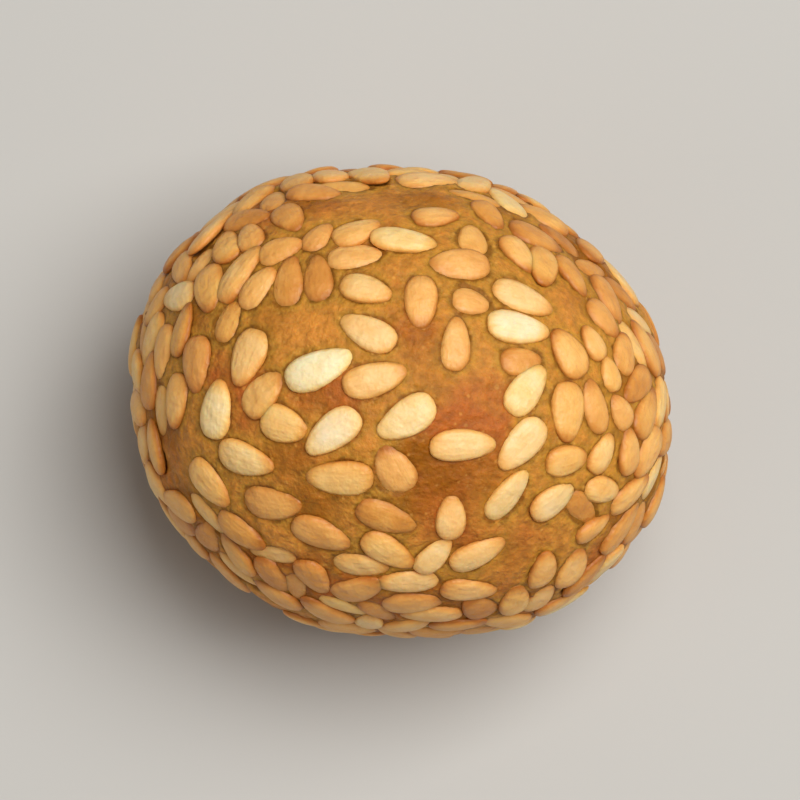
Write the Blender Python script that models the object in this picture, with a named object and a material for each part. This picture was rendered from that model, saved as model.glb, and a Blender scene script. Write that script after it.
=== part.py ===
"""A sesame-coated maamoul: one hand-rolled ball of baked dough on a small flat foot.

The solid is the outer form of the whole sweet, out to the faces of the sesame seeds pressed into it.
Its frame stands at the middle of its box on the tray, with +X along the long way of the oval and +Z up.
"""

import math

import bmesh
import bpy
from mathutils import Vector, noise

# Driving dimensions, in metres.
LENGTH = 0.0320
DEPTH = 0.0276
HEIGHT = 0.0270
FOOT_DEPTH = 0.0011  # how much of the round underside the tray has pressed flat
FOOT_WELD = 0.0003  # points this near the foot's rim are merged into it, so that no slivers are left
BARE_DIP = 0.00025  # about a third of a seed's thickness, missing where the dough is bare
LUMP_HEIGHT = 0.00045

# The rolled ball before it is fitted to those sizes, as shares of its half width.
SUBDIVISIONS = 5  # 5120 triangles, about 1.1 mm across
SAG = 0.09  # how much fuller the lower half is than the upper
LUMP_WIDTH = 0.85
LUMP_PLACE = Vector((4.1, 1.7, 8.3))  # where in the noise the lumps are read

# Sides that the palms and the neighbours on the tray have flattened: heading, height angle, share pressed in.
PRESSED_SIDES = (
    (104, 8, 0.046),
    (-74, 2, 0.058),
    (16, -8, 0.018),
    (196, 4, 0.016),
    (50, 62, 0.010),
)
PRESS_EDGE = 0.024  # half width of the soft edge around a pressed side
PRESS_KEPT = 0.4  # share of what stands past a pressed side that is left standing

# Patches with few or no seeds: heading, height angle and half width, in degrees.
BARE_PATCHES = (
    (-2, 74, 8),
    (-56, 62, 7),
    (169, 68, 6),
    (-38, 38, 8),
    (103, 37, 7),
    (214, 22, 8),
    (60, -4, 8),
    (-108, -14, 9),
    (144, -22, 8),
    (14, -28, 8),
)

BASE_COLOUR = (0.62, 0.31, 0.10, 1.0)
ROUGHNESS = 0.42


def clear_scene():
    """Empties the scene of whatever it held."""
    for obj in list(bpy.data.objects):
        bpy.data.objects.remove(obj)


def direction(heading_deg, height_deg):
    """The unit vector at a heading from +X and a height angle above the horizon."""
    heading = math.radians(heading_deg)
    height = math.radians(height_deg)
    return Vector((math.cos(heading) * math.cos(height), math.sin(heading) * math.cos(height), math.sin(height)))


def smooth_step(share):
    """0 to 1 with no slope at either end."""
    share = min(max(share, 0.0), 1.0)
    return share * share * (3.0 - 2.0 * share)


def with_lumps(point):
    """Rolling by hand leaves broad, low swellings on the unit ball."""
    swelling = noise.noise(point / LUMP_WIDTH + LUMP_PLACE)
    return point * (1.0 + swelling * LUMP_HEIGHT / (LENGTH / 2))


def settled(point):
    """Soft dough sinks as it bakes, so the lower half stands out further than the upper."""
    widening = 1.0 - SAG * point.z * (1.0 - abs(point.z)) / 2
    return Vector((point.x * widening, point.y * widening, point.z))


def pressed(point):
    """Each pressed side is a plane with a soft edge that holds back what stands past it."""
    for heading, height, share in PRESSED_SIDES:
        outward = direction(heading, height)
        past = point.dot(outward) - (1.0 - share)
        softened = PRESS_EDGE * math.log1p(math.exp(past / PRESS_EDGE))
        point = point - outward * softened * (1.0 - PRESS_KEPT)
    return point


def with_bare_patches(point):
    """The face sinks by the coating's thickness over each bare patch, with a soft rim."""
    dip = 0.0
    for heading, height, half_width in BARE_PATCHES:
        away = math.degrees(point.angle(direction(heading, height)))
        dip = max(dip, smooth_step(1.6 - away / half_width))
    return point * (1.0 - dip * BARE_DIP / (LENGTH / 2))


def rolled_ball():
    """A unit icosphere shaped as hands and oven leave it."""
    ball = bmesh.new()
    bmesh.ops.create_icosphere(ball, subdivisions=SUBDIVISIONS, radius=1.0)
    for vertex in ball.verts:
        vertex.co = with_bare_patches(pressed(settled(with_lumps(vertex.co))))
    return ball


def fit_to_size(ball):
    """Gives the ball its real length and depth, and its height with the foot's depth still on it."""
    low = Vector([min(vertex.co[axis] for vertex in ball.verts) for axis in range(3)])
    high = Vector([max(vertex.co[axis] for vertex in ball.verts) for axis in range(3)])
    size = Vector((LENGTH, DEPTH, HEIGHT + FOOT_DEPTH))
    bottom_middle = Vector(((low.x + high.x) / 2, (low.y + high.y) / 2, low.z))
    scale = Vector([size[axis] / (high[axis] - low[axis]) for axis in range(3)])
    bmesh.ops.translate(ball, verts=ball.verts, vec=-bottom_middle)
    bmesh.ops.scale(ball, verts=ball.verts, vec=scale)


def weld_slivers(ball, rim_points):
    """Merges points that the cut left close to the foot's rim into the rim."""
    into_rim = {}
    for point in rim_points:
        for edge in point.link_edges:
            other = edge.other_vert(point)
            if other not in rim_points and edge.calc_length() < FOOT_WELD:
                into_rim[other] = point
    bmesh.ops.weld_verts(ball, targetmap=into_rim)
    bmesh.ops.remove_doubles(ball, verts=[point for point in rim_points if point.is_valid], dist=FOOT_WELD)


def flatten_foot(ball):
    """Cuts the underside flat where the tray pressed it, closes the cut, and stands it at z = 0."""
    bmesh.ops.translate(ball, verts=ball.verts, vec=(0.0, 0.0, -FOOT_DEPTH))
    bmesh.ops.bisect_plane(
        ball,
        geom=ball.verts[:] + ball.edges[:] + ball.faces[:],
        plane_co=(0.0, 0.0, 0.0),
        plane_no=(0.0, 0.0, 1.0),
        clear_inner=True,
    )
    weld_slivers(ball, {point for edge in ball.edges if edge.is_boundary for point in edge.verts})
    bmesh.ops.contextual_create(ball, geom=[edge for edge in ball.edges if edge.is_boundary])
    bmesh.ops.recalc_face_normals(ball, faces=ball.faces)


def baked_dough():
    """The crust's colour and soft gloss."""
    material = bpy.data.materials.new("baked_dough")
    material.use_nodes = True
    surface = material.node_tree.nodes["Principled BSDF"]
    surface.inputs["Base Color"].default_value = BASE_COLOUR
    surface.inputs["Roughness"].default_value = ROUGHNESS
    surface.inputs["Metallic"].default_value = 0.0
    return material


def add_maamoul(collection):
    """Builds the whole sweet as one closed solid."""
    ball = rolled_ball()
    fit_to_size(ball)
    flatten_foot(ball)
    mesh = bpy.data.meshes.new("maamoul_ball")
    ball.to_mesh(mesh)
    ball.free()
    mesh.shade_smooth()
    mesh.materials.append(baked_dough())
    collection.objects.link(bpy.data.objects.new("maamoul_ball", mesh))


def main():
    clear_scene()
    collection = bpy.data.collections.new("maamoul")
    bpy.context.scene.collection.children.link(collection)
    add_maamoul(collection)


main()
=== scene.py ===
"""A sesame-coated maamoul: a hand-rolled ball of baked dough with the seeds that were pressed into it.

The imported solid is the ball's outer form, out to the faces of the seeds. Two pieces are built on that form.
The dough lies a little under it and replaces the solid, and the seeds are one mesh whose faces reach it.
"""

import enum
import logging
import math
from dataclasses import dataclass, field
from functools import cached_property, partial

import bmesh
import bpy
import numpy as np
from mathutils import Matrix, Vector, noise
from mathutils.bvhtree import BVHTree


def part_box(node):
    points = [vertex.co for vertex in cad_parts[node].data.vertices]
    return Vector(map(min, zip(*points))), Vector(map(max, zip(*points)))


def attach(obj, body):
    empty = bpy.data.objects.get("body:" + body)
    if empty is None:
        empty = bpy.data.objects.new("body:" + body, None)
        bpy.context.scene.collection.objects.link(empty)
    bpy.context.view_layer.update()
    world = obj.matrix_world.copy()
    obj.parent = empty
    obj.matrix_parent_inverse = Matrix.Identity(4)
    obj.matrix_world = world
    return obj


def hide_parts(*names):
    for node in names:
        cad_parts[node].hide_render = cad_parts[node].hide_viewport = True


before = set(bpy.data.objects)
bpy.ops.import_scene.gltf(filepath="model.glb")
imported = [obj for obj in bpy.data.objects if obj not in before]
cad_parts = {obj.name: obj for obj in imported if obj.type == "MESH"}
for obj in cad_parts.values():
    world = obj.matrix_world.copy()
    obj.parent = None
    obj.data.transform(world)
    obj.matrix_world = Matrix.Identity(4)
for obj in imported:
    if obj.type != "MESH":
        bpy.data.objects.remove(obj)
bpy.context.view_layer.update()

log = logging.getLogger("maamoul")

MM = 0.001
BODY = "root"
SOLID = "maamoul_ball"

# Where the camera stands: its heading round the ball from -Y towards +X, and its height above the horizon.
VIEW_HEADING = math.radians(15.0)
VIEW_HEIGHT = math.radians(82.0)


class Lie(enum.Enum):
    """How a seed lies: how far the top of its face is below the ball's outer form, in millimetres."""

    PROUD = -0.04
    FLAT = 0.03
    LOW = 0.10
    SUNK = 0.17
    VEILED = 0.20  # under a skin of dough, which keeps its shape
    TUCKED = 0.25  # partly under its neighbours


@dataclass(frozen=True)
class CrownSeed:
    """One of the seeds that show best, listed as the camera sees it.

    Args:
        right: millimetres right of the ball's middle.
        up: millimetres above the ball's middle.
        heading: direction of the seed's pointed tip, in degrees from right towards up.
        length: millimetres from end to end.
        tone: 0 for deeply toasted to 1 for pale cream.
        lie: how deep the seed sits.
        width: millimetres across, or None for the usual share of a seed's length.
    """

    right: float
    up: float
    heading: float
    length: float
    tone: float
    lie: Lie = Lie.FLAT
    width: float | None = None


CROWN = (
    # the middle, where the seeds lie apart
    CrownSeed(-4.7, 1.8, 22, 4.1, 0.94, Lie.PROUD),
    CrownSeed(-1.5, 1.2, 15, 3.7, 0.60),
    CrownSeed(-2.0, 6.4, -17, 3.1, 0.51),
    CrownSeed(-1.8, 3.9, 153, 3.5, 0.76),
    CrownSeed(-3.8, -1.8, 217, 3.7, 0.74),
    CrownSeed(0.4, -1.0, 212, 3.6, 0.84, Lie.PROUD),
    CrownSeed(3.5, -2.6, 2, 3.8, 0.70, Lie.PROUD),
    CrownSeed(3.2, 3.2, 85, 3.2, 0.58, Lie.LOW, 1.8),
    CrownSeed(1.2, 5.7, 268, 3.3, 0.41),
    CrownSeed(4.1, 5.7, -12, 2.4, 0.42, Lie.SUNK, 1.9),
    CrownSeed(-3.4, -4.5, 180, 3.9, 0.54, width=2.2),
    CrownSeed(-0.3, -4.1, 120, 3.1, 0.37, Lie.SUNK, 2.4),
    CrownSeed(-5.2, 4.1, 0, 3.5, 0.14, Lie.VEILED),
    CrownSeed(-6.4, 6.8, 85, 3.3, 0.30, Lie.SUNK),
    CrownSeed(-4.7, 7.1, 95, 3.3, 0.30, Lie.SUNK),
    # right of the middle
    CrownSeed(7.0, 5.9, -23, 3.8, 0.66),
    CrownSeed(6.7, 4.2, -10, 3.8, 0.80, Lie.PROUD),
    CrownSeed(7.0, 2.3, 5, 2.8, 0.35, Lie.SUNK),
    CrownSeed(7.2, 0.6, 53, 3.4, 0.80),
    CrownSeed(7.0, -2.5, 227, 3.6, 0.72),
    CrownSeed(9.7, 2.7, 122, 3.1, 0.41, width=2.3),
    CrownSeed(9.6, -0.6, 268, 3.4, 0.60, width=2.3),
    CrownSeed(9.5, -3.5, 10, 2.8, 0.52),
    CrownSeed(11.2, -0.4, 103, 3.2, 0.46, width=1.8),
    CrownSeed(12.1, 1.5, 105, 2.1, 0.50, width=1.6),
    CrownSeed(11.7, 4.8, -52, 2.7, 0.46),
    CrownSeed(12.9, 2.7, 90, 2.7, 0.40, width=1.9),
    CrownSeed(12.7, -0.7, 118, 2.3, 0.44, width=1.7),
    CrownSeed(9.9, 7.3, -58, 2.9, 0.38),
    CrownSeed(12.0, 6.0, -60, 3.2, 0.34),
    CrownSeed(11.6, -3.1, 60, 2.6, 0.50),
    CrownSeed(13.2, -3.0, 90, 2.8, 0.46),
    CrownSeed(11.6, -5.2, -12, 2.8, 0.54),
    # the upper edge
    CrownSeed(0.2, 9.2, -5, 3.9, 0.72, Lie.PROUD),
    CrownSeed(-2.5, 8.4, 8, 3.5, 0.60, Lie.TUCKED),
    CrownSeed(-6.9, 8.6, 20, 2.7, 0.44),
    CrownSeed(-4.7, 9.4, 50, 2.4, 0.34, Lie.SUNK),
    CrownSeed(-8.6, 9.4, 110, 2.4, 0.38),
    CrownSeed(-10.0, 8.9, 100, 3.0, 0.38),
    CrownSeed(-8.9, 10.5, 10, 3.2, 0.34),
    CrownSeed(-6.4, 10.6, -50, 3.0, 0.36),
    CrownSeed(-5.0, 12.0, 0, 3.3, 0.34),
    CrownSeed(3.5, 7.8, 180, 3.6, 0.46, width=2.2),
    CrownSeed(4.2, 9.3, 92, 2.6, 0.34, Lie.TUCKED, 2.0),
    CrownSeed(6.8, 8.5, -52, 2.8, 0.42),
    CrownSeed(7.9, 9.5, -25, 3.6, 0.30, Lie.LOW),
    CrownSeed(2.0, 10.6, 5, 2.8, 0.32),
    CrownSeed(5.1, 10.8, -48, 2.6, 0.30),
    # left of the middle
    CrownSeed(-8.7, 2.5, 252, 3.4, 0.58, width=2.3),
    CrownSeed(-8.2, 6.4, 52, 2.9, 0.50),
    CrownSeed(-11.0, 6.5, 275, 3.3, 0.38, width=2.3),
    CrownSeed(-10.5, -0.6, 81, 3.4, 0.80, Lie.PROUD, 2.2),
    CrownSeed(-11.7, 2.1, 268, 3.3, 0.38, width=2.3),
    CrownSeed(-7.9, 0.4, 50, 3.2, 0.42, Lie.LOW, 2.3),
    CrownSeed(-6.7, -1.4, -20, 2.9, 0.58, width=2.2),
    CrownSeed(-12.6, 4.0, 75, 3.2, 0.35),
    CrownSeed(-9.9, 4.6, 70, 2.8, 0.35, Lie.TUCKED),
    CrownSeed(-12.9, 0.0, 265, 3.2, 0.36),
    CrownSeed(-8.9, -3.4, -17, 3.7, 0.60, width=2.1),
    CrownSeed(-11.0, -4.8, -50, 3.3, 0.58, width=2.3),
    CrownSeed(-7.4, -6.0, -5, 3.7, 0.33, Lie.LOW, 2.3),
    # the lower edge
    CrownSeed(-0.8, -6.8, -20, 3.7, 0.32, Lie.LOW),
    CrownSeed(-4.5, -7.8, -23, 3.7, 0.46),
    CrownSeed(-0.7, -8.7, -30, 3.5, 0.40),
    CrownSeed(-9.2, -7.6, -35, 3.3, 0.38),
    CrownSeed(-5.0, -10.3, -60, 3.2, 0.38),
    CrownSeed(-7.4, -10.2, -60, 3.3, 0.30),
    CrownSeed(-2.5, -11.0, 20, 3.6, 0.42),
    CrownSeed(0.6, -11.8, 5, 3.5, 0.38),
    CrownSeed(6.1, -5.6, 53, 3.5, 0.77),
    CrownSeed(2.9, -6.8, 88, 2.8, 0.58),
    CrownSeed(1.9, -9.0, 45, 2.9, 0.66),
    CrownSeed(4.4, -8.9, 25, 3.4, 0.56),
    CrownSeed(8.7, -5.9, 32, 3.0, 0.60, width=2.1),
    CrownSeed(11.1, -7.5, 35, 2.5, 0.46),
    CrownSeed(9.9, -9.8, 66, 3.2, 0.44),
    CrownSeed(8.2, -9.9, 80, 3.1, 0.42),
    CrownSeed(3.9, -11.0, -5, 3.4, 0.42),
    # a small one, between two right of the middle
    CrownSeed(11.1, 3.3, 118, 2.2, 0.46, width=1.6),
)


@dataclass(frozen=True)
class OvenMark:
    """A place on the crown where the oven has marked the dough, as the camera sees it.

    Args:
        right: millimetres right of the ball's middle.
        up: millimetres above the ball's middle.
        reach: millimetres from its middle to where it is half faded.
        share: how strong it is at its middle, from 0 to 1.
    """

    right: float
    up: float
    reach: float
    share: float


# where the dough is deep brown
BROWNED = (
    OvenMark(1.0, -3.0, 1.1, 0.95),
    OvenMark(2.3, -4.3, 1.3, 0.80),
    OvenMark(0.8, -5.5, 1.2, 0.70),
    OvenMark(4.3, -4.3, 1.5, 0.55),
    OvenMark(-5.0, -5.8, 1.6, 0.70),
    OvenMark(-6.4, -3.3, 1.4, 0.65),
    OvenMark(-4.6, 0.0, 1.0, 0.28),
    OvenMark(1.4, 3.0, 1.6, 0.40),
    OvenMark(1.9, 0.9, 1.2, 0.40),
    OvenMark(0.2, 4.6, 1.0, 0.25),
    OvenMark(-7.4, 4.6, 1.0, 0.35),
    OvenMark(6.6, -9.0, 1.0, 0.40),
)

# where it is red
REDDENED = (
    OvenMark(4.3, 0.0, 2.3, 1.0),
    OvenMark(1.3, 3.5, 1.5, 0.9),
)


def linear(hex_colour: str) -> tuple[float, float, float, float]:
    """Turns an sRGB hex colour into the linear colour that a shader socket takes.

    Args:
        hex_colour: six hex digits.

    Returns:
        Red, green, blue and an alpha of 1.
    """
    parts = [int(hex_colour[start:start + 2], 16) / 255 for start in (0, 2, 4)]
    red, green, blue = (
        part / 12.92 if part <= 0.04045 else ((part + 0.055) / 1.055) ** 2.4 for part in parts)
    return red, green, blue, 1.0


def fill_sockets(tree: bpy.types.NodeTree, node: bpy.types.Node, inputs: dict[int | str, object]) -> None:
    """Gives a node's sockets their values and links.

    Args:
        tree: the material's node tree.
        node: the node.
        inputs: a value, or another node's output, for each socket by its name or number.
    """
    for key, value in inputs.items():
        if isinstance(value, bpy.types.NodeSocket):
            tree.links.new(value, node.inputs[key])
        else:
            node.inputs[key].default_value = value


def add_node(
    tree: bpy.types.NodeTree,
    kind: str,
    inputs: dict[int | str, object] | None = None,
    stops: dict[float, str] | None = None,
    **settings: object,
) -> bpy.types.Node:
    """Adds a shader node with its settings, values and links.

    A Mix of colours takes them in sockets 6 and 7, and gives its result at output 2.

    Args:
        tree: the material's node tree.
        kind: the node's type, without its ShaderNode prefix.
        inputs: what fills its sockets.
        stops: for a colour ramp, the hex colour at each place from 0 to 1.
        **settings: properties of the node itself.

    Returns:
        The new node.
    """
    node = tree.nodes.new("ShaderNode" + kind)
    for name, value in settings.items():
        setattr(node, name, value)
    fill_sockets(tree, node, inputs or {})
    for number, (place, colour) in enumerate(sorted((stops or {}).items())):
        elements = node.color_ramp.elements
        element = elements[number] if number < len(elements) else elements.new(place)
        element.position = place
        element.color = linear(colour)
    return node


def smooth_step(share: np.ndarray | float) -> np.ndarray | float:
    """Rises from 0 to 1 as the share does, level at both ends."""
    held = np.clip(share, 0.0, 1.0)
    return held * held * (3.0 - 2.0 * held)


def view_axes() -> tuple[Vector, Vector, Vector]:
    """The camera's axes.

    Returns:
        Unit vectors to the camera's right, to its up, and from the ball to the camera.
    """
    right = Vector((math.cos(VIEW_HEADING), math.sin(VIEW_HEADING), 0.0))
    towards = Vector((
        math.sin(VIEW_HEADING) * math.cos(VIEW_HEIGHT),
        -math.cos(VIEW_HEADING) * math.cos(VIEW_HEIGHT),
        math.sin(VIEW_HEIGHT),
    ))
    return right, towards.cross(right), towards


@dataclass(frozen=True)
class BakedDough:
    """Short semolina dough, rolled in the palms and baked: dense, fine-grained and dry at the surface.

    To the eye it is golden orange where bare, redder or browner where the oven caught it, and dark amber
    against the seeds, partly from oil gathered there and partly painted shade for the creases. It is flecked
    with pale grains of semolina. It has almost no gloss.
    """

    # the two colours against the seeds: oil, and painted shade for the creases
    oil_and_shade_crease: str = "925E19"
    oil_and_shade_by_seed: str = "BC842E"
    open_dough: str = "C88633"
    bare: str = "C98134"
    caught: str = "B05A20"
    browned: str = "98580A"
    veil: str = "D58C38"
    fleck: str = "E5A650"
    patch_size: float = 4.5 * MM
    wander_size: float = 0.9 * MM
    # Semolina grains are 0.3 to 0.6 mm wide. The crumb between is too fine to show, so it is drawn coarser.
    fleck_size: float = 0.5 * MM
    grain_size: float = 0.45 * MM
    crumb_size: float = 0.22 * MM

    def material(self) -> bpy.types.Material:
        """Builds the dough's shader.

        Returns:
            The material, which reads the dough's attributes and Object coordinates.
        """
        material = bpy.data.materials.new("baked_semolina_dough")
        material.use_nodes = True
        tree = material.node_tree
        add = partial(add_node, tree)
        place = add("TexCoord").outputs["Object"]
        gap, veil, fired_and_lit, brown = (
            add("Attribute", attribute_name=name).outputs["Fac"]
            for name in ("gap", "veil", "fired_and_lit", "browned"))
        # painted shade against the seeds, for the creases, along with the oil there; golden where open
        wander = add("TexNoise", {"Vector": place, "Scale": 1 / self.wander_size, "Detail": 3.0})
        wandering = add("Math", {0: wander.outputs["Fac"], 1: 0.3, 2: gap}, operation="MULTIPLY_ADD")
        centred = add("Math", {0: wandering.outputs[0], 1: 0.15}, operation="SUBTRACT")
        by_gap = add("ValToRGB", {0: centred.outputs[0]}, stops={
            0.0: self.oil_and_shade_crease,
            0.10: self.oil_and_shade_by_seed,
            0.30: self.open_dough,
            0.9: self.bare,
        })
        # reddened in patches, made less red at the back by painted light, and deep brown where marked
        patches = add("TexNoise", {"Vector": place, "Scale": 1 / self.patch_size, "Detail": 3.0})
        heated = add("Math", {0: patches.outputs["Fac"], 1: fired_and_lit})
        share = add("MapRange", {0: heated.outputs[0], 1: 0.49, 2: 0.67, 3: 0.0, 4: 0.8})
        caught = add(
            "Mix", {0: share.outputs[0], 6: by_gap.outputs[0], 7: linear(self.caught)}, data_type="RGBA")
        broken_up = add("Math", {0: wander.outputs["Fac"], 1: 0.8, 2: 0.6}, operation="MULTIPLY_ADD")
        depth = add("Math", {0: brown, 1: broken_up.outputs[0]}, operation="MULTIPLY")
        browned = add(
            "Mix", {0: depth.outputs[0], 6: caught.outputs[2], 7: linear(self.browned)}, data_type="RGBA")
        # a thin skin over the sunk seeds, and pale flecks of semolina
        veiled = add("Mix", {0: veil, 6: browned.outputs[2], 7: linear(self.veil)}, data_type="RGBA")
        cells = add("TexVoronoi", {"Vector": place, "Scale": 1 / self.fleck_size})
        size = add("Math", {0: cells.outputs["Color"], 1: 0.45, 2: -0.13}, operation="MULTIPLY_ADD")
        inside = add("Math", {0: size.outputs[0], 1: cells.outputs["Distance"]}, operation="SUBTRACT")
        fleck = add("MapRange", {0: inside.outputs[0], 1: -0.06, 2: 0.12, 3: 0.0, 4: 0.4})
        flecked = add(
            "Mix", {0: fleck.outputs[0], 6: veiled.outputs[2], 7: linear(self.fleck)}, data_type="RGBA")
        # fine grain, in colour and in relief
        grains = add("TexNoise", {"Vector": place, "Scale": 1 / self.grain_size, "Detail": 4.0})
        speckle = add("MapRange", {0: grains.outputs["Fac"], 1: 0.3, 2: 0.7, 3: 0.78, 4: 1.22})
        grained = add("VectorMath", {0: flecked.outputs[2], "Scale": speckle.outputs[0]}, operation="SCALE")
        crumb = add("TexNoise", {"Vector": place, "Scale": 1 / self.crumb_size, "Detail": 3.0})
        fine = add("Bump", {"Strength": 0.7, "Distance": 0.12 * MM, "Height": crumb.outputs["Fac"]})
        coarse = add("Bump", {
            "Strength": 0.8,
            "Distance": 0.2 * MM,
            "Height": grains.outputs["Fac"],
            "Normal": fine.outputs[0],
        })
        fill_sockets(tree, tree.nodes["Principled BSDF"], {
            "Base Color": grained.outputs[0],
            "Normal": coarse.outputs[0],
            "Roughness": 0.55,
            "IOR": 1.45,
            "Specular IOR Level": 0.2,
            "Subsurface Weight": 0.4,
            "Subsurface Radius": (1.0, 0.45, 0.12),
            "Subsurface Scale": 0.5 * MM,
        })
        return material


@dataclass(frozen=True)
class ToastedSesame:
    """Hulled sesame toasted on the dough: smooth, hard and waxy, and translucent at its thin edges.

    To the eye each seed is cream to golden by how much heat it had, palest in the middle of its face and
    golden brown round its rim and at its tip, with a soft gloss. The rim's darkening is partly toasting and
    partly painted shade, for the shadow where the seed dips into the dough.
    """

    deep: str = "B56E26"
    toasted: str = "DB9645"
    golden: str = "F2B764"
    pale: str = "FCD28D"
    cream: str = "FFECC6"
    rosy: str = "FFFAFC"
    straw: str = "FFFCF0"
    mottle_size: float = 1.3 * MM
    # The hull's own ribs and pits are about 0.1 mm apart, too fine to show, so they are drawn coarser.
    rib_gap: float = 0.28 * MM
    pit_gap: float = 0.30 * MM

    def material(self) -> bpy.types.Material:
        """Builds the seeds' shader.

        Returns:
            The material, which reads the seeds' attributes and Object coordinates.
        """
        material = bpy.data.materials.new("toasted_sesame")
        material.use_nodes = True
        tree = material.node_tree
        add = partial(add_node, tree)
        place = add("TexCoord").outputs["Object"]
        lengthwise = add("Attribute", attribute_name="lengthwise").outputs["Vector"]
        tone, rim, hue = (
            add("Attribute", attribute_name=name).outputs["Fac"] for name in ("tone", "rim", "hue"))
        # toasted unevenly, and darkest round the rim: partly toasting, partly painted shade where the seed
        # dips into the dough
        mottle = add("TexNoise", {"Vector": place, "Scale": 1 / self.mottle_size, "Detail": 3.0})
        drift = add("Math", {0: mottle.outputs["Fac"], 1: 0.40, 2: tone}, operation="MULTIPLY_ADD")
        level = add("Math", {0: drift.outputs[0], 1: 0.20}, operation="SUBTRACT")
        darker = add("MapRange", {0: rim, 1: 0.2, 2: 1.0, 3: 0.0, 4: 0.35}, interpolation_type="SMOOTHSTEP")
        toned = add("Math", {0: level.outputs[0], 1: darker.outputs[0]}, operation="SUBTRACT")
        hull = add("ValToRGB", {0: toned.outputs[0]}, stops={
            0.0: self.deep,
            0.25: self.toasted,
            0.48: self.golden,
            0.72: self.pale,
            1.0: self.cream,
        })
        tint = add("Mix", {0: hue, 6: linear(self.rosy), 7: linear(self.straw)}, data_type="RGBA")
        tinted = add(
            "Mix", {0: 1.0, 6: hull.outputs[0], 7: tint.outputs[2]}, data_type="RGBA", blend_type="MULTIPLY")
        # the hull's relief: broad waves, ribs from end to end, and pits that also break up the gloss
        uneven = add("TexNoise", {"Vector": place, "Scale": 1 / (self.mottle_size * 0.6), "Detail": 2.0})
        drawn_out = add("Mapping", {"Vector": lengthwise, "Scale": (0.15, 1.0, 1.0)})
        ribs = add("TexNoise", {"Vector": drawn_out.outputs[0], "Scale": 1 / self.rib_gap, "Detail": 3.0})
        pits = add("TexNoise", {"Vector": place, "Scale": 1 / self.pit_gap, "Detail": 4.0})
        waved = add("Bump", {"Strength": 0.7, "Distance": 0.25 * MM, "Height": uneven.outputs["Fac"]})
        ribbed = add("Bump", {
            "Strength": 0.6,
            "Distance": 0.09 * MM,
            "Height": ribs.outputs["Fac"],
            "Normal": waved.outputs[0],
        })
        pitted = add("Bump", {
            "Strength": 0.6,
            "Distance": 0.08 * MM,
            "Height": pits.outputs["Fac"],
            "Normal": ribbed.outputs[0],
        })
        polish = add("MapRange", {0: pits.outputs["Fac"], 1: 0.3, 2: 0.7, 3: 0.40, 4: 0.56})
        fill_sockets(tree, tree.nodes["Principled BSDF"], {
            "Base Color": tinted.outputs[2],
            "Normal": pitted.outputs[0],
            "Roughness": polish.outputs[0],
            "IOR": 1.47,
            "Specular IOR Level": 0.42,
            "Subsurface Weight": 0.5,
            "Subsurface Radius": (1.0, 0.65, 0.32),
            "Subsurface Scale": 0.45 * MM,
        })
        return material


@dataclass(frozen=True)
class MattPaper:
    """A sheet of uncoated paper to stand the ball on: pale, even and without gloss."""

    colour: str = "C2BFB9"

    def material(self) -> bpy.types.Material:
        """Builds the paper's shader.

        Returns:
            The material.
        """
        material = bpy.data.materials.new("uncoated_paper")
        material.use_nodes = True
        tree = material.node_tree
        shader = tree.nodes["Principled BSDF"]
        fill_sockets(tree, shader, {"Base Color": linear(self.colour), "Roughness": 0.85})
        return material


def outline_width(along: np.ndarray | float, taper: float) -> np.ndarray | float:
    """The share of its full width that a seed has at a place from -1, its round end, to 1, its tip."""
    return 1.0 - taper * along + 0.08 * along * along


@dataclass
class Seed:
    """A seed with its place on the ball, in metres.

    Args:
        point: where the middle of its face meets the ball's outer form.
        outward: the form's normal there.
        tip: unit vector along the form, towards the seed's pointed tip.
        length: from end to end.
        width: at its widest.
        thickness: from back to face.
        taper: how much narrower it is towards its tip.
        tone: 0 for deeply toasted to 1 for cream.
        lie: how deep it sits.
        placed: whether it is one of the listed crown seeds, and so stays put as the others settle.
    """

    point: Vector
    outward: Vector
    tip: Vector
    length: float
    width: float
    thickness: float
    taper: float
    tone: float
    lie: Lie
    placed: bool = False

    def ring(self, points: np.ndarray) -> tuple[np.ndarray, np.ndarray]:
        """Sets points of the form against the seed's outline.

        Args:
            points: places on the form, a row each.

        Returns:
            For each, its share of the way from the seed's middle to its outline, and metres to the outline,
            which are negative inside it.
        """
        away = points - np.array(self.point)
        along = away @ np.array(self.tip) / (self.length / 2)
        across = away @ np.array(self.outward.cross(self.tip)) / (self.width / 2)
        across = across / outline_width(np.clip(along, -1.0, 1.0), self.taper)
        share = np.hypot(along, across) + 1e-6
        scale = np.hypot(along * self.length / 2, across * self.width / 2) / share
        other_side = np.abs(away @ np.array(self.outward)) > self.length
        return np.where(other_side, np.inf, share), np.where(other_side, self.length, (share - 1.0) * scale)


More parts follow.
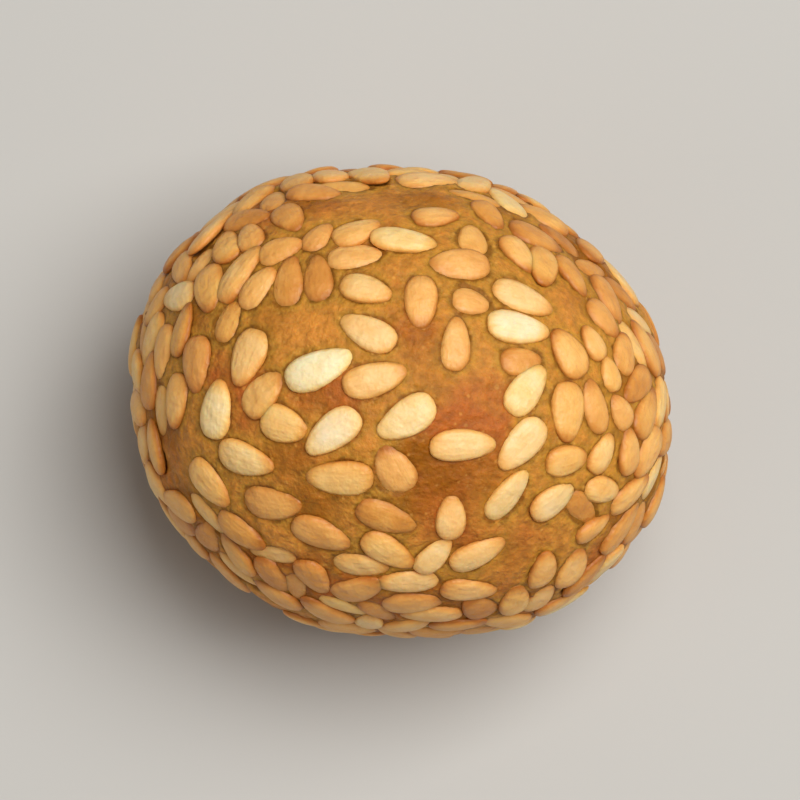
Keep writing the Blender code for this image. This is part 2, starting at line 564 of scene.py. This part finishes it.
@dataclass
class BallForm:
    """The solid's outer form with its facets smoothed away, which the dough and the seeds are laid on.

    Args:
        cuts: how finely each facet is divided.
        passes: how often the divided form is smoothed.
    """

    cuts: int = 3
    passes: int = 24
    low: Vector = field(init=False)
    high: Vector = field(init=False)
    middle: Vector = field(init=False)
    area: float = field(init=False)
    tree: BVHTree = field(init=False)

    def __post_init__(self) -> None:
        """Builds the smooth form from a copy of the solid's mesh."""
        self.low, self.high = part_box(SOLID)
        self.middle = (self.low + self.high) / 2
        form = bmesh.new()
        form.from_mesh(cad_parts[SOLID].data)
        bmesh.ops.remove_doubles(form, verts=form.verts, dist=0.001 * MM)
        bmesh.ops.subdivide_edges(form, edges=form.edges, cuts=self.cuts, use_grid_fill=True)
        for _ in range(self.passes):
            bmesh.ops.smooth_vert(
                form, verts=form.verts, factor=0.5, use_axis_x=True, use_axis_y=True, use_axis_z=True)
        form.normal_update()
        self.area = sum(face.calc_area() for face in form.faces)
        self.tree = BVHTree.FromBMesh(form)
        form.free()

    def outwards(self, direction: Vector) -> tuple[Vector, Vector]:
        """Finds the form's surface in a direction from the ball's middle.

        Args:
            direction: any vector.

        Returns:
            The point and the outward normal there.
        """
        point, outward, _, _ = self.tree.ray_cast(self.middle, direction.normalized())
        return point, outward

    def seen(self, right: float, up: float) -> tuple[Vector, Vector]:
        """Finds the point of the form that the camera sees.

        Args:
            right: metres right of the ball's middle in the view.
            up: metres above the ball's middle in the view.

        Returns:
            The point and the outward normal there.
        """
        view_right, view_up, towards = view_axes()
        start = self.middle + view_right * right + view_up * up + towards * (self.high - self.low).length
        point, outward, _, _ = self.tree.ray_cast(start, -towards)
        return point, outward


@dataclass
class SesameCoat:
    """The seeds: those listed where they show best, and the rest settled against them.

    The sizes are those of hulled sesame.

    Args:
        form: the ball's outer form.
        length: metres from end to end.
        slimness: width as a share of length.
        thickness: metres.
        fullness: share of its length times its width that a seed's outline takes up.
        coverage: share of the dough that the seeds lying side by side cover, outside the crown's middle.
        crown_share: share of the ball's half widths, in the view, within which no seed is scattered.
        steps: how many times the others are pushed apart.
        giving_way: share of an overlap by which a seed moves away in one step.
        most_moved: metres that a seed may move in one step.
        most_turned: radians that it may turn in one step.
        overlap: metres by which neighbours may overlap at their rims.
        most_pressed: metres further at which a scattered seed has found no room, and is taken away.
        least_gap: metres from the nearest seed at which a further one is tucked in.
        tuck_under: metres by which the rim of such a seed goes under its neighbours.
        discs: circles that stand for a seed as it settles, by place along it and radius, as shares of its
            length and width.
        bare_patches: where no seed is scattered or pushed to, by heading, height angle and half width in
            degrees.
        chance: what places the scattered seeds and makes each differ.
    """

    form: BallForm
    length: float = 3.4 * MM
    slimness: float = 0.60
    thickness: float = 0.86 * MM
    fullness: float = 0.75
    coverage: float = 0.74
    crown_share: float = 0.62
    steps: int = 70
    giving_way: float = 0.4
    most_moved: float = 0.4 * MM
    most_turned: float = 0.25
    overlap: float = 0.16 * MM
    most_pressed: float = 0.40 * MM
    least_gap: float = 0.50 * MM
    tuck_under: float = 0.24 * MM
    discs: tuple[tuple[float, float], ...] = ((-0.27, 0.46), (0.0, 0.50), (0.27, 0.37))
    bare_patches: tuple[tuple[float, float, float], ...] = (
        (108, 36, 8),
        (95, 32, 5),
        (-32, 31, 8),
        (-45, 24, 5),
        (40, 43, 6),
        (-42, 41, 4),
        (-28, 23, 4),
        (128, 39, 5),
        (-149, 30, 5),
        (-21, 45, 2),
        (-169, 44, 2),
        (62, 51, 2),
        (-138, 36, 2),
        (214, 22, 8),
        (60, -4, 8),
        (-108, -14, 9),
        (144, -22, 8),
        (14, -28, 8),
    )
    chance: np.random.Generator = field(default_factory=lambda: np.random.default_rng(7))

    def sized(
        self, point: Vector, outward: Vector, tip: Vector, length: float, tone: float, lie: Lie
    ) -> Seed:
        """Gives a seed its own width, thickness and taper.

        Args:
            point: where it lies on the form.
            outward: the form's normal there.
            tip: roughly the way its tip points.
            length: metres.
            tone: 0 for deeply toasted to 1 for cream.
            lie: how deep it sits.

        Returns:
            The seed.
        """
        width = math.sqrt(length * self.length) * self.slimness * float(self.chance.normal(1.0, 0.055))
        thickness = self.thickness * float(self.chance.normal(1.0, 0.06))
        taper = float(self.chance.normal(0.26, 0.04))
        level_tip = (tip - outward * tip.dot(outward)).normalized()
        return Seed(point, outward, level_tip, length, width, thickness, taper, tone, lie)

    def crown(self) -> list[Seed]:
        """Lays the listed crown seeds.

        Returns:
            The seeds.
        """
        right, up, towards = view_axes()
        seeds = []
        for row in CROWN:
            point, outward = self.form.seen(row.right * MM, row.up * MM)
            heading = math.radians(row.heading)
            seen_tip = right * math.cos(heading) + up * math.sin(heading)
            tip = seen_tip - towards * (seen_tip.dot(outward) / towards.dot(outward))
            seed = self.sized(point, outward, tip, row.length * MM, row.tone, row.lie)
            seed.placed = True
            if row.width is not None:
                seed.width = row.width * MM
            seeds.append(seed)
        return seeds

    @cached_property
    def patches(self) -> list[tuple[Vector, float]]:
        """Finds the bare patches on the form.

        Returns:
            The middle and the radius in metres of each.
        """
        found = []
        for heading, height, half_width in self.bare_patches:
            turn, lift = math.radians(heading), math.radians(height)
            level = math.cos(lift)
            direction = Vector((math.cos(turn) * level, math.sin(turn) * level, math.sin(lift)))
            middle, _ = self.form.outwards(direction)
            found.append((middle, (middle - self.form.middle).length * math.radians(half_width)))
        return found

    def is_open(self, point: Vector) -> bool:
        """Whether a seed may be scattered at a point.

        Args:
            point: a point on the form.

        Returns:
            False in the crown's middle and on the bare patches.
        """
        towards = view_axes()[2]
        away = point - self.form.middle
        half = (self.form.high - self.form.low) / 2
        seen = away - towards * away.dot(towards)
        if away.dot(towards) > 0 and math.hypot(seen.x / half.x, seen.y / half.y) < self.crown_share:
            return False
        return all((point - middle).length > reach for middle, reach in self.patches)

    def open_spots(self, trials: int) -> list[tuple[Vector, Vector]]:
        """Tries random places, evenly over all directions.

        Args:
            trials: how many to try.

        Returns:
            The point and outward normal of each where a seed may be scattered.
        """
        spots = [self.form.outwards(Vector(self.chance.normal(size=3))) for _ in range(trials)]
        return [(point, outward) for point, outward in spots if self.is_open(point)]

    def toast_and_side_shade_tone(self) -> float:
        """How toasted a scattered seed is, from 0 to 1, kept low partly as painted shade for the ball's
        dimmer sides.
        """
        return float(np.clip(self.chance.normal(0.45, 0.14), 0.15, 0.70))

    def scatter(self, seeds: list[Seed]) -> None:
        """Adds seeds side by side until the ball is as covered as it should be.

        Args:
            seeds: the seeds so far, which the new ones join.
        """
        trials = 2000
        open_area = self.form.area * len(self.open_spots(trials)) / trials
        seed_area = self.length ** 2 * self.slimness * self.fullness
        already = sum(self.is_open(seed.point) for seed in seeds)
        for _ in range(round(open_area * self.coverage / seed_area) - already):
            point, outward = max(
                self.open_spots(8),
                key=lambda spot: min((seed.point - spot[0]).length for seed in seeds),
            )
            lie = self.chance.choice(
                [Lie.PROUD, Lie.FLAT, Lie.LOW, Lie.SUNK, Lie.VEILED], p=[0.16, 0.54, 0.18, 0.08, 0.04])
            tone = self.toast_and_side_shade_tone() * (0.6 if lie is Lie.SUNK else 1.0)
            length = self.length * float(np.clip(self.chance.normal(1.0, 0.07), 0.84, 1.14))
            tip = Vector(self.chance.normal(size=3))
            seeds.append(self.sized(point, outward, tip, length, tone, lie))

    def settle(self, seeds: list[Seed], steps: int) -> list[Seed]:
        """Pushes and turns seeds that overlap others, until they lie side by side.

        Args:
            seeds: all the seeds, of which the listed ones stay where they are.
            steps: how many times.

        Returns:
            The seeds that found room where they may lie.
        """
        places = np.array([[seed.length * place for place, _ in self.discs] for seed in seeds])
        radii = np.array([
            [seed.width * radius - self.overlap / 2 for _, radius in self.discs] for seed in seeds])
        every_radius = np.append(radii.ravel(), [reach for _, reach in self.patches])
        owner = np.append(
            np.repeat(np.arange(len(seeds)), len(self.discs)), np.full(len(self.patches), -1))
        own_disc = owner[:radii.size, None] == owner[None, :]
        reach = np.where(own_disc, 0.0, radii.ravel()[:, None] + every_radius[None, :])
        for _ in range(steps):
            points = np.array([seed.point for seed in seeds])
            arms = np.array([seed.tip for seed in seeds])[:, None, :] * places[:, :, None]
            discs = (points[:, None, :] + arms).reshape(-1, 3)
            others = np.concatenate([discs, [middle for middle, _ in self.patches]])
            between = discs[:, None, :] - others[None, :, :]
            distance = np.sqrt((between ** 2).sum(axis=2)) + 1e-9
            pressed = np.clip(reach - distance, 0.0, None)
            push = (between * (pressed / distance)[:, :, None]).sum(axis=1).reshape(arms.shape)
            moves = np.clip(push.sum(axis=1) * self.giving_way, -self.most_moved, self.most_moved)
            turns = np.cross(arms, push).sum(axis=1)
            for seed, move, turn in zip(seeds, moves, turns):
                if seed.placed:
                    continue
                moved = seed.point + Vector(move)
                seed.point, seed.outward = self.form.outwards(moved - self.form.middle)
                spin = Vector(turn).dot(seed.outward) / (seed.length ** 2 / 8)
                spin = float(np.clip(spin, -self.most_turned, self.most_turned))
                tip = Matrix.Rotation(spin, 3, seed.outward) @ seed.tip
                seed.tip = (tip - seed.outward * tip.dot(seed.outward)).normalized()
        most = pressed.max(axis=1).reshape(radii.shape).max(axis=1)
        return [seed for seed, depth in zip(seeds, most)
                if seed.placed or (depth < self.most_pressed and self.is_open(seed.point))]

    def fitted(self, point: Vector, outward: Vector, gap: float, near: list[Seed]) -> Seed:
        """Sizes a seed to the gap that it is tucked into, along the way in which the gap is longest.

        Args:
            point: the middle of the gap.
            outward: the form's normal there.
            gap: metres from there to the nearest seed.
            near: the seeds round it.

        Returns:
            The seed, whose rim goes under its neighbours' by the tuck.
        """
        start = outward.orthogonal().normalized()
        steps = np.arange(-0.6, 0.61, 0.05) * self.length
        best, run = start, steps[:0]
        for turn in range(12):
            tip = Matrix.Rotation(math.pi * turn / 12, 3, outward) @ start
            line = np.array(point) + steps[:, None] * np.array(tip)
            closed = steps[np.min([seed.ring(line)[1] for seed in near], axis=0) < 0.0]
            first = closed[closed < 0.0].max(initial=steps[0])
            last = closed[closed > 0.0].min(initial=steps[-1])
            if len(run) == 0 or last - first > run[1] - run[0]:
                best, run = tip, np.array([first, last])
        length = min(run[1] - run[0] + 2 * self.tuck_under, self.length)
        middle, normal = self.form.outwards(point + best * float(run.mean()) - self.form.middle)
        if self.chance.random() < 0.5:
            best = -best
        seed = self.sized(middle, normal, best, float(length), self.toast_and_side_shade_tone() * 0.85, Lie.TUCKED)
        seed.width = min(seed.width, 2 * (gap + self.tuck_under))
        return seed

    def tuck(self, seeds: list[Seed]) -> None:
        """Fills the widest gaps that are left with smaller seeds that lie partly under their neighbours.

        Args:
            seeds: the settled seeds, which the new ones join.
        """
        spots = self.open_spots(6000)
        points = np.array([point for point, _ in spots])
        gaps = np.min([seed.ring(points)[1] for seed in seeds], axis=0)
        while gaps.max() > self.least_gap:
            point, outward = spots[int(gaps.argmax())]
            near = [seed for seed in seeds if (seed.point - point).length < 2 * self.length]
            tucked = self.fitted(point, outward, float(gaps.max()), near)
            seeds.append(tucked)
            gaps = np.minimum(gaps, tucked.ring(points)[1])
            gaps[((points - np.array(point)) ** 2).sum(axis=1) < (0.3 * MM) ** 2] = 0.0

    def laid(self) -> list[Seed]:
        """Lays all the seeds.

        Returns:
            The seeds, settled.
        """
        seeds = self.crown()
        self.scatter(seeds)
        seeds = self.settle(seeds, self.steps)
        self.tuck(seeds)
        return self.settle(seeds, self.steps // 4)


@dataclass
class SeedMesh:
    """Turns laid seeds into one piece.

    Args:
        form: the ball's outer form.
        around: faces round a seed's middle.
        along: faces from end to end.
        swell: how much bigger each cage is than its seed, which smoothing then takes away.
        squared: how far a seed's section bulges towards a square.
        thinned: how much thinner a seed is at its tip than in its middle.
        curl: how far a seed bends to the ball, where 0.5 would follow it all the way.
        flattened: metres of the faces of the seeds on the foot that the tray has pressed flat.
        foot_edge: metres above the tray from which no seed is pressed flat.
        tray_reach: metres above the tray below which its heat has browned the seeds further.
        chance: what makes each seed differ.
    """

    form: BallForm
    around: int = 8
    along: int = 6
    swell: float = 1.07
    squared: float = 0.22
    thinned: float = 0.12
    curl: float = 0.35
    flattened: float = 0.20 * MM
    foot_edge: float = 0.6 * MM
    tray_reach: float = 3.5 * MM
    chance: np.random.Generator = field(default_factory=lambda: np.random.default_rng(11))

    def shaped(self, unit: Vector, seed: Seed, dish: float, bow: float) -> Vector:
        """Turns a point of a unit sphere into one of a seed that lies face up with its tip along +X.

        Args:
            unit: the point on the sphere, whose poles become the seed's ends.
            seed: the seed's sizes.
            dish: how hollow its face is, as a share of its half thickness.
            bow: how far its ends bend to one side, as a share of its half width.

        Returns:
            The point, in metres.
        """
        along, across, up = unit.z, unit.x, unit.y
        ring = max(math.hypot(across, up), 1e-6)
        squareness = 1.0 + self.squared * abs(across * up) / ring ** 2
        hollow = dish * max(up, 0.0) ** 2 * (1.0 - along * along)
        bent = bow * (along * along - 0.4)
        return Vector((
            along * (1.0 + 0.04 * along) * seed.length / 2,
            (across * outline_width(along, seed.taper) * squareness + bent) * seed.width / 2,
            (up * squareness * (1.0 - self.thinned * along) - hollow) * seed.thickness / 2,
        ))

    def add(self, mesh: bmesh.types.BMesh, seed: Seed) -> None:
        """Adds one seed: a small ball of a few dozen faces, drawn out and bent to the dough.

        Args:
            mesh: the coat's mesh.
            seed: its place and sizes.
        """
        layers = mesh.verts.layers
        ball = bmesh.ops.create_uvsphere(mesh, u_segments=self.around, v_segments=self.along, radius=1.0)
        dish = float(self.chance.uniform(0.0, 0.30))
        bow = float(self.chance.normal(0.0, 0.06))
        heart = float(self.chance.uniform(-0.12, 0.16))
        brown_tip = float(self.chance.uniform(0.0, 0.28))
        offset = float(self.chance.uniform(0.0, 1.0))
        hue = float(self.chance.uniform(0.0, 1.0))
        off_tray = smooth_step(seed.point.z / self.tray_reach)
        roll = Matrix.Rotation(float(self.chance.normal(0.0, 0.07)), 3, seed.tip)
        pitch = Matrix.Rotation(float(self.chance.normal(0.0, 0.05)), 3, seed.outward.cross(seed.tip))
        face = pitch @ roll @ seed.outward
        tip = pitch @ seed.tip
        side = face.cross(tip)
        depth = seed.thickness / 2 + (seed.lie.value + float(self.chance.normal(0.0, 0.02))) * MM
        depth -= self.flattened * (1.0 - smooth_step(seed.point.z / self.foot_edge))
        middle = seed.point - seed.outward * depth
        curve = self.curl / (seed.point - self.form.middle).length
        for vertex in ball["verts"]:
            unit = vertex.co.copy()
            local = self.shaped(unit, seed, dish, bow) * self.swell
            bend = curve * (local.x ** 2 + local.y ** 2)
            # the rim share also places the painted shade on the seed's flanks
            rim = min(max(1.0 - unit.y, 0.0), 1.0)
            at_tip = smooth_step((unit.z - 0.45) / 0.5)
            vertex[layers.float["tone"]] = (
                seed.tone * (0.55 + 0.45 * off_tray) + heart * (1.0 - rim) - brown_tip * at_tip)
            vertex[layers.float["hue"]] = hue
            vertex[layers.float["rim"]] = rim
            vertex[layers.float_vector["lengthwise"]] = (local.x, local.y, offset)
            vertex.co = middle + tip * local.x + side * local.y + face * (local.z - bend)
            vertex.co.z = max(vertex.co.z, 0.0)

    def build(self, seeds: list[Seed]) -> bpy.types.Object:
        """Builds the coat.

        Args:
            seeds: the laid seeds, of which the dough itself shapes the veiled ones.

        Returns:
            The piece, dressed.
        """
        coat = bmesh.new()
        for name in ("tone", "rim", "hue"):
            coat.verts.layers.float.new(name)
        coat.verts.layers.float_vector.new("lengthwise")
        for seed in seeds:
            if seed.lie is not Lie.VEILED:
                self.add(coat, seed)
        bmesh.ops.recalc_face_normals(coat, faces=coat.faces)
        piece = as_piece(coat, "sesame_seeds", ToastedSesame().material())
        rounding = piece.modifiers.new("rounding", "SUBSURF")
        rounding.levels = 1
        rounding.render_levels = 1
        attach(piece, BODY)
        return piece


@dataclass
class DoughBall:
    """The ball of dough under the seeds, which swells up between them and lies bare where they are missing.

    Args:
        form: the ball's outer form.
        facets: subdivisions of the icosphere it starts from.
        cuts: how finely each of its facets is then divided.
        under_seeds: metres below the outer form, under a seed.
        by_seeds: metres below the outer form, against a seed.
        bare: metres below the outer form, well away from seeds.
        open_gap: metres from a seed at which the dough counts as well away.
        seed_edge: metres inside a seed's outline at which the dough is as low as under its middle.
        foot_inset: metres above the tray on the flat foot, between the seeds pressed flat there.
        foot_edge: metres above the tray from which the dough lies as low as elsewhere.
        brown_patch: width in metres of the browned patches outside the crown.
        patch_brown: how brown they are, against the browned marks on the crown.
        tray_reach: metres above the tray below which its heat has reddened the dough.
        tray_heat: how much more the dough is reddened there, against the tray.
        back_light_share: how much less it is reddened at the back, as painted light: a yellower tint for the
            light on that side.
        back_light_fade: metres over which that fades away, from the middle to the front.
        marked_heat: how much more it is reddened at the reddened marks.
        relief: width and height of its lumps and grains, in metres.
    """

    form: BallForm
    facets: int = 5
    cuts: int = 5
    under_seeds: float = 0.55 * MM
    by_seeds: float = 0.34 * MM
    bare: float = 0.22 * MM
    open_gap: float = 1.6 * MM
    seed_edge: float = 0.3 * MM
    foot_inset: float = 0.06 * MM
    foot_edge: float = 0.8 * MM
    brown_patch: float = 3.2 * MM
    patch_brown: float = 0.7
    tray_reach: float = 3.0 * MM
    tray_heat: float = 0.14
    back_light_share: float = 0.08
    back_light_fade: float = 4.0 * MM
    marked_heat: float = 0.08
    relief: tuple[tuple[float, float], ...] = (
        (1.8 * MM, 0.09 * MM),
        (0.65 * MM, 0.08 * MM),
        (0.33 * MM, 0.04 * MM),
    )

    def gaps(self, points: np.ndarray, seeds: list[Seed]) -> np.ndarray:
        """Measures how far points of the form are from the nearest seed that shows.

        Args:
            points: places on the form.
            seeds: the laid seeds.

        Returns:
            Metres to the nearest seed's outline, negative inside it.
        """
        shown = [seed for seed in seeds if seed.lie is not Lie.VEILED]
        nearest = np.full(len(points), 2 * self.open_gap)
        for seed in shown:
            away = ((points - np.array(seed.point)) ** 2).sum(axis=1)
            near = np.flatnonzero(away < (2 * self.open_gap) ** 2)
            nearest[near] = np.minimum(nearest[near], seed.ring(points[near])[1])
        return nearest

    def veils(self, points: np.ndarray, seeds: list[Seed]) -> np.ndarray:
        """Works out how much of the height of a veiled seed stands up at each point.

        Args:
            points: places on the form.
            seeds: the laid seeds.

        Returns:
            0 off the veiled seeds to 1 over their middles.
        """
        height = np.zeros(len(points))
        for seed in seeds:
            if seed.lie is Lie.VEILED:
                share = seed.ring(points)[0]
                height = np.maximum(height, np.sqrt(np.clip(1.0 - share ** 2, 0.0, 1.0)))
        return height

    def on_crown(self, points: np.ndarray) -> np.ndarray:
        """Works out which points are on the crown, with a soft edge.

        Args:
            points: places on the form.

        Returns:
            0 off the crown to 1 on it.
        """
        away = points - np.array(self.form.middle)
        facing = away @ np.array(view_axes()[2]) / np.linalg.norm(away, axis=1)
        return smooth_step(5.0 * facing - 2.2)

    def marked(self, points: np.ndarray, marks: tuple[OvenMark, ...]) -> np.ndarray:
        """Works out how strongly the oven has marked the crown.

        Args:
            points: places on the form.
            marks: the listed marks.

        Returns:
            0 off the marks to 1 in the middle of the strongest.
        """
        right, up, _ = (np.array(axis) for axis in view_axes())
        away = points - np.array(self.form.middle)
        strongest = np.zeros(len(points))
        for mark in marks:
            distance = np.hypot(away @ right - mark.right * MM, away @ up - mark.up * MM)
            strength = mark.share * smooth_step(1.5 - distance / (mark.reach * MM))
            strongest = np.maximum(strongest, strength)
        return strongest * self.on_crown(points)

    def browning(self, points: np.ndarray) -> np.ndarray:
        """Works out how brown the dough is: as marked on the crown, and in random patches elsewhere.

        Args:
            points: places on the form.

        Returns:
            0 for dough of the usual colour to 1 for the brownest.
        """
        patchy = np.array([noise.noise(Vector(point) / self.brown_patch) for point in points])
        elsewhere = 1.0 - self.on_crown(points)
        return self.marked(points, BROWNED) + self.patch_brown * smooth_step(patchy / 0.35) * elsewhere

    def heat(self, points: np.ndarray) -> np.ndarray:
        """Works out how much more or less than usual the dough is reddened, by the oven and by painted light.

        Args:
            points: places on the form.

        Returns:
            Above 0 by the tray and at the reddened marks, and below 0 at the back, where painted light makes
            it yellower.
        """
        by_tray = self.tray_heat * np.clip(1.0 - points[:, 2] / self.tray_reach, 0.0, 1.0)
        # painted light: the back is made less red, for the tint of the light on that side
        back_light_tint = self.back_light_share * smooth_step(1.0 + points[:, 1] / self.back_light_fade)
        return by_tray - back_light_tint + self.marked_heat * self.marked(points, REDDENED)

    def inset(self, point: Vector, gap: float, veil: float) -> float:
        """Works out how far the dough lies below the outer form.

        Args:
            point: a place on the form.
            gap: metres to the nearest seed's outline.
            veil: share of a veiled seed's height.

        Returns:
            Metres.
        """
        swollen = (self.bare - self.by_seeds) * smooth_step(gap / self.open_gap)
        covered = (self.under_seeds - self.by_seeds) * smooth_step(-gap / self.seed_edge)
        depth = self.by_seeds + swollen + covered
        for width, height in self.relief:
            depth -= height * noise.noise(point / width)
        if gap > 0.0:
            depth += (Lie.VEILED.value * MM - depth) * veil
        return self.foot_inset + depth * smooth_step(point.z / self.foot_edge)

    def build(self, seeds: list[Seed]) -> bpy.types.Object:
        """Builds the dough.

        Args:
            seeds: the laid seeds.

        Returns:
            The piece, dressed.
        """
        dough = bmesh.new()
        bmesh.ops.create_icosphere(dough, subdivisions=self.facets, radius=1.0)
        bmesh.ops.subdivide_edges(dough, edges=dough.edges, cuts=self.cuts, use_grid_fill=True)
        spots = [self.form.outwards(vertex.co) for vertex in dough.verts]
        points = np.array([point for point, _ in spots])
        gaps = self.gaps(points, seeds)
        veils = self.veils(points, seeds)
        for vertex, (point, outward), gap, veil in zip(dough.verts, spots, gaps, veils):
            vertex.co = point - outward * self.inset(point, gap, veil)
            vertex.co.z = max(vertex.co.z, self.foot_inset)
        # the gap to the seeds also sets the painted crease shade in the dough's material
        attributes = {
            "gap": np.clip(gaps / self.open_gap, 0.0, 1.0),
            "veil": veils,
            "browned": self.browning(points),
            "fired_and_lit": self.heat(points),
        }
        for name, values in attributes.items():
            layer = dough.verts.layers.float.new(name)
            for vertex, value in zip(dough.verts, values):
                vertex[layer] = value
        piece = as_piece(dough, "baked_dough", BakedDough().material())
        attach(piece, BODY)
        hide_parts(SOLID)
        return piece


def as_piece(mesh: bmesh.types.BMesh, name: str, material: bpy.types.Material) -> bpy.types.Object:
    """Turns a finished bmesh into a smooth-shaded object.

    Args:
        mesh: the bmesh, which is freed.
        name: the piece's name.
        material: its finish.

    Returns:
        The piece, in the scene.
    """
    data = bpy.data.meshes.new(name)
    mesh.to_mesh(data)
    mesh.free()
    data.shade_smooth()
    data.materials.append(material)
    piece = bpy.data.objects.new(name, data)
    bpy.context.scene.collection.objects.link(piece)
    return piece


@dataclass
class Studio:
    """The paper floor, the soft lights and the camera.

    Args:
        form: the ball's outer form.
        distance: metres from the ball's middle to the camera.
        lens: focal length in millimetres.
        floor_size: metres.
        light_size: metres across each of the two lights.
        key_place: where the stronger light stands from the ball's middle, in metres.
        key_power: its watts.
        fill_place: where the weaker light stands.
        fill_power: its watts.
        sky: brightness all round.
    """

    form: BallForm
    distance: float = 0.45
    lens: float = 355.0
    floor_size: float = 2.0
    light_size: float = 0.30
    key_place: tuple[float, float, float] = (0.125, 0.08, 0.42)
    key_power: float = 2.30
    fill_place: tuple[float, float, float] = (-0.30, -0.25, 0.20)
    fill_power: float = 0.20
    sky: float = 0.15

    def add_light(self, name: str, place: Vector, power: float) -> None:
        """Adds a square soft light that faces the ball.

        Args:
            name: the light's name.
            place: where it stands from the ball's middle, in metres.
            power: watts.
        """
        data = bpy.data.lights.new(name, "AREA")
        data.size = self.light_size
        data.energy = power
        light = bpy.data.objects.new(name, data)
        light.location = self.form.middle + place
        light.rotation_euler = place.to_track_quat("Z", "Y").to_euler()
        bpy.context.scene.collection.objects.link(light)

    def add_camera(self) -> None:
        """Adds the camera, looking steeply down on the ball."""
        right, up, towards = view_axes()
        data = bpy.data.cameras.new("camera")
        data.lens = self.lens
        data.clip_start = 0.01
        camera = bpy.data.objects.new("camera", data)
        turned = Matrix((right, up, towards)).transposed().to_4x4()
        camera.matrix_world = Matrix.Translation(self.form.middle + towards * self.distance) @ turned
        bpy.context.scene.collection.objects.link(camera)
        bpy.context.scene.camera = camera

    def add_floor(self) -> None:
        """Lays the paper floor."""
        floor = bmesh.new()
        bmesh.ops.create_grid(floor, x_segments=1, y_segments=1, size=self.floor_size / 2)
        as_piece(floor, "paper_floor", MattPaper().material())

    def add_sky(self) -> None:
        """Adds the even light from all round."""
        world = bpy.data.worlds.new("soft_room")
        world.use_nodes = True
        tree = world.node_tree
        fill_sockets(tree, tree.nodes["Background"], {"Color": linear("FFFDF9"), "Strength": self.sky})
        bpy.context.scene.world = world

    def build(self) -> None:
        """Builds the studio."""
        self.add_floor()
        self.add_sky()
        self.add_light("key", Vector(self.key_place), self.key_power)
        self.add_light("fill", Vector(self.fill_place), self.fill_power)
        self.add_camera()
        bpy.context.scene.view_settings.view_transform = "Standard"


def main() -> None:
    """Builds the maamoul and its studio."""
    logging.basicConfig(level=logging.INFO, format="%(message)s")
    form = BallForm()
    log.info("outer form: %.0f square mm", form.area / MM ** 2)
    seeds = SesameCoat(form).laid()
    coat = SeedMesh(form).build(seeds)
    log.info("%s: %d seeds laid", coat.name, len(seeds))
    dough = DoughBall(form).build(seeds)
    log.info("%s: %d faces", dough.name, len(dough.data.polygons))
    Studio(form).build()


if __name__ == "__main__":
    main()
